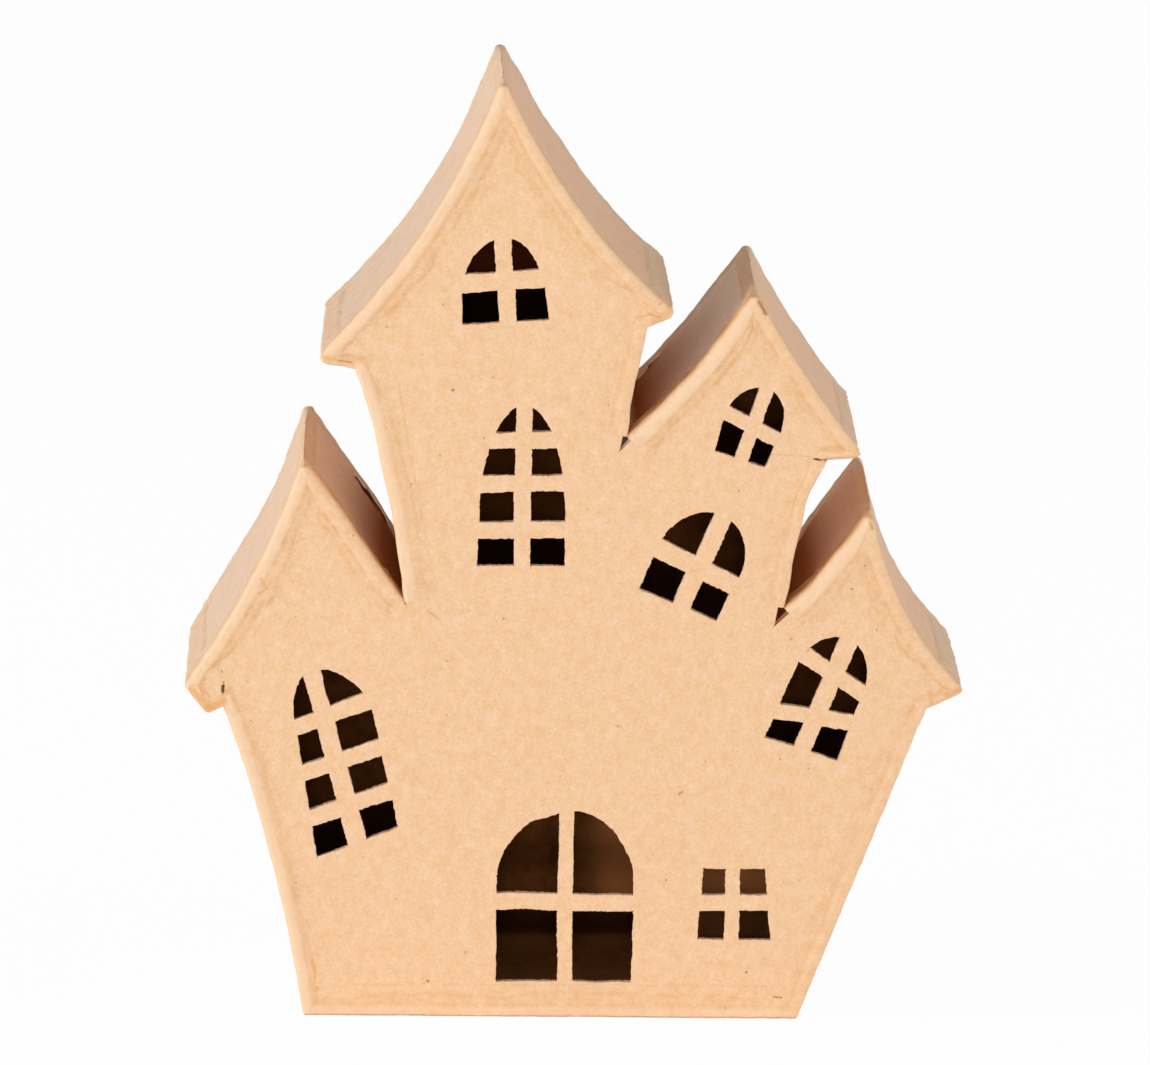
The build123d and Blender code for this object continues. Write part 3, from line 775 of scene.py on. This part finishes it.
def bindEdges(name, hand, seed, nodes, material):
    bm = newSheet()
    rows = binding["faceRows"] + binding["foldRows"] + len(binding["legRows"]) - 1
    for k in range(count):
        startStop = valleys.get(sides[k][1], (None,))[0]
        endStop = valleys.get(sides[(k + 1) % count][1], (None,))[0]
        cuts = max(16, int(lengthOf(k) * binding["cutsPerMm"]))
        sheetAlong(bm, k, rows, cuts, bindingAcross(k, hand, seed), startStop, endStop)
    if hand > 0:
        bmesh.ops.reverse_faces(bm, faces=bm.faces)
    lump, lumpSpan = binding["lump"]
    settle(bm, lump * (1.0 if hand < 0 else binding["backLump"]), lumpSpan)
    thicken(pieceFrom(bm, name, "paper", nodes, material), binding["thickness"])


stripNames = ["left_wall", "left_gable_outer", "left_gable_inner", "tower_left_wall", "tower_left_roof",
              "tower_right_roof", "tower_right_wall", "upper_gable_inner", "upper_gable_outer",
              "upper_gable_wall", "lower_gable_inner", "lower_gable_outer", "right_wall", "base"]
bindEdges("frontBinding", -1, 1.7, ["front_strip_" + name for name in stripNames], paperKraft)
bindEdges("backBinding", 1, 9.4, ["back_strip_" + name for name in stripNames], backPaperKraft)
print("binding paper along the front and back edges")

# card walls and roof slopes between the front and back cards
cardSides = {
    "rows": 22,
    "cutsPerMm": 0.7,
    "thickness": 1.7,
    "lump": (0.10, 9.0),  # size and length
    "ridgeGap": 2.2,  # slopes stop this far short of a ridge, under its paper
    "rightFacing": 0.3,  # sides that face right more than this keep the card's tone, without the painted sheen the others get
}
sideGroups = {"left_eave": ["left_eave_under", "left_eave_end"]}
for side in sides:
    if not side[0].startswith("left_eave") and side[0] != "base":
        sideGroups[side[0]] = [side[0]]


def cardAcross(k):
    # painted shade near a valley, kept in the same layer as the glue stains
    def across(row, s, length):
        return 0.0, shell["cardEnd"] * (2 * row / cardSides["rows"] - 1), valleyShadeAt(k, s, length), 0.0

    return across


for name, members in sideGroups.items():
    bm = newSheet()
    for member in members:
        k = sideNumber[member]
        stops = [cardSides["ridgeGap"] if "Apex" in sides[n][1] else None for n in (k, (k + 1) % count)]
        cuts = max(12, int(lengthOf(k) * cardSides["cutsPerMm"]))
        sheetAlong(bm, k, cardSides["rows"], cuts, cardAcross(k), *stops)
    settle(bm, *cardSides["lump"])
    # right-facing sides keep the card's tone, the others get painted sheen, and slopes facing a valley
    # painted light and shade
    facing = along(sideNumber[members[0]], 1.0)[2].x
    outside = rightKraft if facing > cardSides["rightFacing"] else paintedSheenKraft
    if name in shadedSides:
        outside = paintedLightAndShadeKraft
    piece = pieceFrom(bm, name + "Card", "card", [name + "_panel"], outside, paintedShadeInsideKraft)
    thicken(piece, cardSides["thickness"], 1)
print("card walls and slopes:", len(sideGroups))

# paper over the ridges and round the eaves, between the two bindings
wrapPaper = {
    "ridge": 6.0,  # how far it reaches down the slopes from a ridge
    "eave": 11.0,  # and up a slope from an eave
    "half": 27.5,  # half its length from front to back
    "rows": 26,
    "cuts": 18,
    "eaveCuts": 14,
    "thickness": 0.3,
    "lump": (0.16, 5.0),  # size and length
    "glueGap": 0.02,
    "step": 0.3,  # stands this far off the card once past its torn edge
    "edge": 2.6,  # width of that edge
    "covered": 9.0,  # taken as the way to the edge where the whole side is covered
    "endFade": 3.0,  # lies flat again this near to the bindings
    "patchy": (0.5, 4.0),  # uneven height of the step: share, length
    "ragged": (0.9, 5.0),  # torn edge: unevenness, length
    "glueLine": (0.9, 0.9),  # stain along the edge: strength, half width
}


def wrapCorner(name, runs, node):
    bm = newSheet()
    uneven, unevenSpan = wrapPaper["patchy"]
    tear, tearSpan = wrapPaper["ragged"]
    glue, glueWidth = wrapPaper["glueLine"]
    for member, size, fromEnd in runs:
        k = sideNumber[member]

        def across(row, s, length):
            free = wrapPaper["covered"]
            if size is not None:
                free = size * (s / length if fromEnd else 1 - s / length)
            depth = wrapPaper["half"] * (2 * row / wrapPaper["rows"] - 1)
            patchy = 1 + uneven * noise.noise(Vector((depth / unevenSpan, size or 3.0, 2.2)))
            patchy *= ease((wrapPaper["half"] - abs(depth)) / wrapPaper["endFade"])
            ragged = tear * noise.noise(Vector((depth / tearSpan, size or 3.0, 7.7)))
            offset = wrapPaper["glueGap"] + wrapPaper["step"] * ease(free / wrapPaper["edge"]) * patchy
            stainAndShade = glue * max(0.0, 1 - abs(free - glueWidth - ragged) / glueWidth)
            return offset, depth, stainAndShade, 0.0

        cuts, stops = wrapPaper["eaveCuts"], (None, None)
        if size is not None:
            stop = lengthOf(k) - size
            cuts, stops = wrapPaper["cuts"], (stop, None) if fromEnd else (None, stop)
        sheetAlong(bm, k, wrapPaper["rows"], cuts, across, *stops)
    settle(bm, *wrapPaper["lump"])
    thicken(pieceFrom(bm, name, "paper", [node], backPaperKraft), wrapPaper["thickness"])


# sides that one paper covers: name, how much of it or all, whether that is at its far end
down, up = wrapPaper["ridge"], wrapPaper["eave"]
for gable, ways in (("left_gable", ("outer", "inner")), ("tower", ("left", "right")),
                    ("upper_gable", ("inner", "outer")), ("lower_gable", ("inner", "outer"))):
    before, after = (gable + "_" + way + "_slope" for way in ways)
    wrapCorner(gable + "Ridge", [(before, down, True), (after, down, False)], "ridge_strip_" + gable)
for eave, runs in (("left_gable", [("left_eave_under", None, True), ("left_eave_end", None, True),
                                   ("left_gable_outer_slope", up, False)]),
                   ("tower_left", [("tower_left_eave", None, True), ("tower_left_slope", up, False)]),
                   ("tower_right", [("tower_right_slope", up, True), ("tower_right_eave", None, True)]),
                   ("upper_gable", [("upper_gable_outer_slope", up, True),
                                    ("upper_gable_eave", None, True)]),
                   ("lower_gable", [("lower_gable_outer_slope", up, True),
                                    ("lower_gable_eave", None, True)])):
    wrapCorner(eave + "Eave", runs, "eave_strip_" + eave)
print("paper over 4 ridges and 5 eaves")

# front and back cards, cut by hand
cutCard = {
    "step": 0.55,  # length of the pieces that a cut is drawn in
    "wobble": (0.24, 6.5, 0.23, 0.9),  # slow and quick unevenness of the cuts: size, length
    "round": 0.14,  # worn corner along the cuts
    "tuck": 0.9,  # the rim stays this far under the paper
    "mostTuck": 5.0,
    "over": 0.15,  # panes are cut this much too wide on each side
    "low": 0.15,  # and this much too low
    "foot": 0.4,  # the card ends this far above the ground
    "rimGap": 0.4,  # points this near the outline belong to the rim
    "cornerShare": 0.002,  # points this near the end of a side belong to its corner
    "cutAngle": 0.6,  # edges sharper than this many radians are cuts
    "level": 0.1,  # edges within this depth run along a face
    "facing": 0.9,  # faces that look forward or back more than this are the card's own
    "weld": 0.005,
}
# panes that were cut off the drawn line: x, z, reach, shift in x and z
paneNudge = [
    (-7.0, 65.0, 6.0, 0.0, -1.3),
    (-17.0, 56.0, 9.0, 0.8, -0.6),
    (15.0, 55.0, 8.0, -0.6, -0.4),
    (8.4, 47.2, 9.0, 0.0, -0.5),
    (-14.0, 33.7, 8.0, -0.2, 0.7),
    (-71.9, 103.9, 7.0, -0.7, 0.0),
    (-74.2, 86.0, 7.0, -0.3, -0.3),
    (25.7, 138.6, 7.0, -0.5, 0.1),
    (33.9, 152.4, 6.0, 0.1, -0.4),
    (-16.7, 237.6, 5.0, -0.5, 0.1),
    (-14.7, 223.6, 6.0, 0.0, -0.3),
]
# the outline before its corners were drawn sharper
plainAt = [Vector(corners[side[1]][:2]) for side in sides]


# how near the outline a point is, and which way is out there
def rimPlace(flat):
    best, near = None, cutCard["cornerShare"]
    for k in range(count):
        a = plainAt[k]
        chord = plainAt[(k + 1) % count] - a
        t = max(0.0, min(1.0, (flat - a).dot(chord) / chord.length_squared))
        place, _, out = bowed(k, a, chord, t)
        gap = (flat - place).length
        if best is None or gap < best[0]:
            if t < near or t > 1 - near:
                corner = k if t < near else (k + 1) % count
                out = mitres[corner][0] * (0.0 if sides[corner][1] in valleys else 1.0)
            best = (gap, out)
    return best


def isCut(e, rimVerts):
    if rimVerts.intersection(e.verts) or len(e.link_faces) != 2:
        return False
    return e.calc_face_angle(0.0) > cutCard["cutAngle"]


# the points along the cuts, one pane after another
def paneLoops(bm, rimVerts):
    linked = {}
    for e in bm.edges:
        if isCut(e, rimVerts):
            for v in e.verts:
                linked.setdefault(v, []).append(e.other_vert(v))
    loops, seen = [], set()
    for start in linked:
        if start not in seen:
            loop, todo = [], [start]
            while todo:
                v = todo.pop()
                if v not in seen:
                    seen.add(v)
                    loop.append(v)
                    todo.extend(linked[v])
            loops.append(loop)
    return loops


def cutFromCard(name, node, hand, faceMaterial):
    bm = bmesh.new()
    bm.from_mesh(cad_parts[node].data)
    bmesh.ops.scale(bm, vec=(1 / shell["mm"],) * 3, verts=bm.verts)
    bmesh.ops.remove_doubles(bm, verts=bm.verts, dist=cutCard["weld"])
    bmesh.ops.dissolve_limit(bm, angle_limit=math.radians(1.0), verts=bm.verts, edges=bm.edges)
    face = hand * shell["front"]
    rim = {}
    for v in bm.verts:
        gap, out = rimPlace(Vector((v.co.x, v.co.z)))
        if gap < cutCard["rimGap"]:
            rim[v] = out
    for v, out in rim.items():
        step = out * -cutCard["tuck"]
        if step.length > cutCard["mostTuck"]:
            step = step.normalized() * cutCard["mostTuck"]
        v.co += Vector((step.x, 0.0, step.y))
        v.co.z = max(v.co.z, cutCard["foot"])
    rimVerts = set(rim)
    cut = [e for e in bm.edges
           if isCut(e, rimVerts) and abs(e.verts[0].co.y - e.verts[1].co.y) < cutCard["level"]]
    for e in cut:
        pieces = int(e.calc_length() / cutCard["step"])
        if pieces > 1:
            bmesh.ops.subdivide_edges(bm, edges=[e], cuts=pieces - 1)
    for pane in paneLoops(bm, rimVerts):
        low = [min(v.co[i] for v in pane) for i in (0, 2)]
        high = [max(v.co[i] for v in pane) for i in (0, 2)]
        for v in pane:
            for i, least, most in zip((0, 2), low, high):
                v.co[i] += cutCard["over"] * (2 * (v.co[i] - least) / (most - least) - 1)
            v.co.z -= cutCard["low"]
    for v in bm.verts:
        if v not in rimVerts:
            v.co += unevenAt(Vector((v.co.x, 11.0, v.co.z)), v.co, *cutCard["wobble"])
            for x, z, reach, dx, dz in paneNudge if hand < 0 else ():
                weight = math.exp(-((v.co.x - x) ** 2 + (v.co.z - z) ** 2) / reach ** 2)
                v.co += Vector((dx * weight, 0.0, dz * weight))
    sharp = [e for e in bm.edges
             if isCut(e, rimVerts) and all(abs(v.co.y - face) < cutCard["level"] for v in e.verts)]
    if sharp:
        bmesh.ops.bevel(bm, geom=sharp, offset=cutCard["round"], segments=2, profile=0.5, affect="EDGES",
                        material=-1)
    for v in bm.verts:
        v.co += wanderAt(v.co)
    bm.normal_update()
    for f in bm.faces:
        facing = f.normal.y * hand
        f.material_index = 0 if facing > cutCard["facing"] else 2 if facing < -cutCard["facing"] else 1
    bmesh.ops.triangulate(bm, faces=bm.faces)
    bmesh.ops.scale(bm, vec=(shell["mm"],) * 3, verts=bm.verts)
    pieceFrom(bm, name, "card", [node], faceMaterial, cutKraft, paintedShadeInsideKraft, smooth=False)


cutFromCard("frontCard", "front_panel", -1, frontKraft)
cutFromCard("backCard", "back_panel", 1, frontKraft)
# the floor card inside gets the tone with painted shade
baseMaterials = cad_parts["base_panel"].data.materials
baseMaterials.clear()
baseMaterials.append(paintedShadeFloorKraft)
print("front and back cards cut")

# floor, light and camera
studio = {
    "floor": 0.94,  # its grey, and half its size in m
    "floorHalf": 5.0,
    "floorRoughness": 0.9,
    "shadowShare": 0.035,  # how much of the floor's own shading the camera sees
    "world": 0.35,
    "aim": (0.0, 0.0, 0.14),
    # lamps: place and size in m, power
    "frontLamp": ((-0.1, -2.4, 0.15), 0.6, 25.5),
    "leftLamp": ((-1.9, -0.4, 0.75), 0.8, 20.5),
    "rightLamp": ((1.9, -0.4, 0.7), 0.8, 11.5),
}


# mixes plain white into a shader, for the camera and for what it sees mirrored
def whiteWhenSeen(tree, plain, share):
    path = addNode(tree, "ShaderNodeLightPath").outputs
    mirrored = mathNode(tree, "MAXIMUM", path["Is Glossy Ray"], path["Is Transmission Ray"])
    seen = mathNode(tree, "MAXIMUM", path["Is Camera Ray"], mirrored)
    isSky = plain.bl_idname == "ShaderNodeBackground"
    white = {"Color": (1.0, 1.0, 1.0, 1.0), "Strength": 1.0}
    glow = addNode(tree, "ShaderNodeBackground" if isSky else "ShaderNodeEmission", white)
    shares = {0: mathNode(tree, "MULTIPLY", seen, share), 1: plain.outputs[0], 2: glow.outputs[0]}
    return addNode(tree, "ShaderNodeMixShader", shares).outputs[0]


floorBm = bmesh.new()
bmesh.ops.create_grid(floorBm, x_segments=4, y_segments=4, size=studio["floorHalf"])
floorMesh = bpy.data.meshes.new("floor")
floorBm.to_mesh(floorMesh)
floorBm.free()
floor = bpy.data.objects.new("floor", floorMesh)
scene.collection.objects.link(floor)
floorMaterial = bpy.data.materials.new("paleFloor")
floorMaterial.use_nodes = True
tree = floorMaterial.node_tree
shader = tree.nodes["Principled BSDF"]
shader.inputs["Base Color"].default_value = (studio["floor"],) * 3 + (1.0,)
shader.inputs["Roughness"].default_value = studio["floorRoughness"]
shown = whiteWhenSeen(tree, shader, 1 - studio["shadowShare"])
tree.links.new(shown, tree.nodes["Material Output"].inputs["Surface"])
floorMesh.materials.append(floorMaterial)

world = bpy.data.worlds.new("studio")
scene.world = world
world.use_nodes = True
tree = world.node_tree
sky = tree.nodes["Background"]
sky.inputs["Color"].default_value = (1.0, 1.0, 1.0, 1.0)
sky.inputs["Strength"].default_value = studio["world"]
tree.links.new(whiteWhenSeen(tree, sky, 1.0), tree.nodes["World Output"].inputs["Surface"])


def softLamp(name, place, size, power):
    lamp = bpy.data.lights.new(name, "AREA")
    lamp.shape = "DISK"
    lamp.size = size
    lamp.energy = power
    lampObject = bpy.data.objects.new(name, lamp)
    lampObject.location = place
    toPart = Vector(studio["aim"]) - Vector(place)
    lampObject.rotation_euler = toPart.to_track_quat("-Z", "Y").to_euler()
    scene.collection.objects.link(lampObject)


for name in ("frontLamp", "leftLamp", "rightLamp"):
    softLamp(name, *studio[name])

# the photo's view: focal length over the picture's width in pixels, place in mm, angles in degrees
view = {
    "sensor": 36.0,
    "focal": 8428,
    "width": 1150,
    "place": (-63.04, -2505.84, 769.38),
    "pitch": 14.0,
    "yaw": 1.447,
    "roll": 0.864,
    "clipEnd": 50.0,
}
pitch, yaw, roll = (math.radians(view[key]) for key in ("pitch", "yaw", "roll"))
ahead = Vector((math.sin(yaw) * math.cos(pitch), math.cos(yaw) * math.cos(pitch), -math.sin(pitch)))
level = ahead.cross(Vector((0, 0, 1))).normalized()
upward = level.cross(ahead)
right = level * math.cos(roll) + upward * math.sin(roll)
top = upward * math.cos(roll) - level * math.sin(roll)
camera = bpy.data.cameras.new("photoCamera")
camera.lens = view["sensor"] * view["focal"] / view["width"]
camera.sensor_width = view["sensor"]
camera.clip_end = view["clipEnd"]
cameraObject = bpy.data.objects.new("photoCamera", camera)
cameraObject.matrix_world = Matrix.Translation(Vector(view["place"]) * shell["mm"]) @ Matrix(
    (right, top, -ahead)).transposed().to_4x4()
scene.collection.objects.link(cameraObject)
scene.camera = cameraObject
scene.view_settings.view_transform = "Standard"
print("camera, lamps and floor ready")
